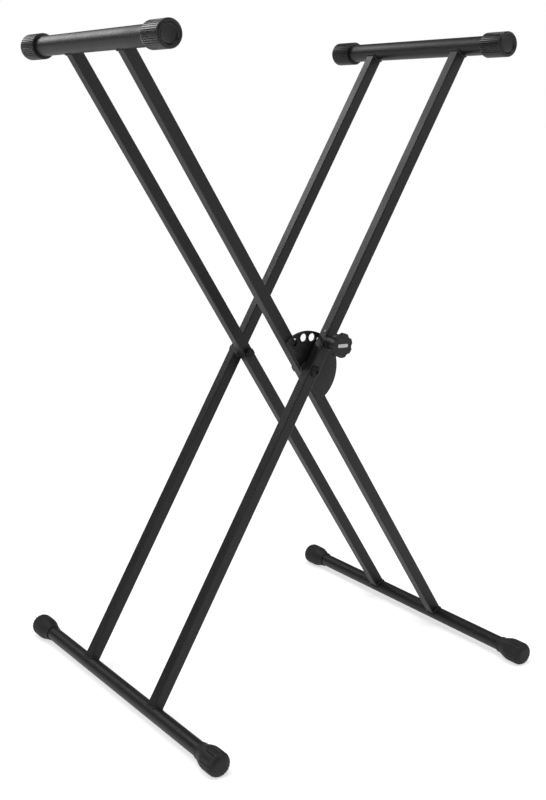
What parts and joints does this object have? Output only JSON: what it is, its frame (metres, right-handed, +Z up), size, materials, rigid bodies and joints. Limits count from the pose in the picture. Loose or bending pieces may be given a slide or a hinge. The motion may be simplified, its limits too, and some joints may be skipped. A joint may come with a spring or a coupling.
{
  "type": "folding keyboard stand",
  "caption": "Free-standing folding X stand for a keyboard: crossing tube frames on a shared pivot, rubber-capped top bars, rubber feet and a spring plunger that locks in a half-moon plate.",
  "frame": {"origin": "on the floor, midway between the four feet", "axes": "+Z up, +Y along the bars away from the side with the lock, +X across the spread towards the outer frame's support bar"},
  "size_m": [0.5432, 0.508, 0.8682],
  "materials": {
    "powder_coat": "satin black powder coat",
    "cap_rubber": "satin moulded rubber",
    "foot_rubber": "matt moulded rubber",
    "knob_plastic": "moulded, semi-gloss",
    "inlay": "pale grey, plain",
    "black_hardware": "black oxide",
    "zinc_steel": "zinc plated",
    "nylon": "moulded nylon"
  },
  "bodies": {
    "inner_frame": {"inner_leg_near": "powder_coat", "inner_leg_far": "powder_coat", "inner_top_bar": "powder_coat", "inner_base_bar": "powder_coat", "inner_frame_welds": "powder_coat", "lock_plate": "powder_coat", "lock_plate_welds": "powder_coat", "inner_top_cap_near": "cap_rubber", "inner_top_cap_far": "cap_rubber", "inner_foot_near": "foot_rubber", "inner_foot_far": "foot_rubber", "inner_leg_sleeves": "zinc_steel", "pivot_bolts": "black_hardware", "pivot_nuts": "black_hardware", "pivot_nut_washers": "black_hardware"},
    "outer_frame": {"outer_leg_near": "powder_coat", "outer_leg_far": "powder_coat", "outer_top_bar": "powder_coat", "outer_base_bar": "powder_coat", "outer_frame_welds": "powder_coat", "outer_top_cap_near": "cap_rubber", "outer_top_cap_far": "cap_rubber", "outer_foot_near": "foot_rubber", "outer_foot_far": "foot_rubber", "pivot_bush_near": "nylon", "pivot_bush_far": "nylon", "pivot_head_washers": "black_hardware", "plunger_housing": "black_hardware", "plunger_housing_cap": "black_hardware", "guide_block": "nylon", "guide_block_rivet": "zinc_steel"},
    "lock_plunger": {"plunger_pin": "zinc_steel", "plunger_washer": "zinc_steel", "plunger_spring": "zinc_steel", "plunger_knob": "knob_plastic", "knob_inlay": "inlay"}
  },
  "joints": [
    {"name": "fold", "type": "hinge", "parent": "inner_frame", "child": "outer_frame", "pos_m": [0, 0, 0.43364], "axis": [0, 1, 0], "range_deg": [-58.4, 18.3]},
    {"name": "plunger_slide", "type": "slide", "parent": "outer_frame", "child": "lock_plunger", "axis": [0, 1, 0], "range_m": [0, 0.0045], "stiffness_N_per_m": 1000, "springref_m": 0.0125, "deforming": ["plunger_spring"]}
  ]
}
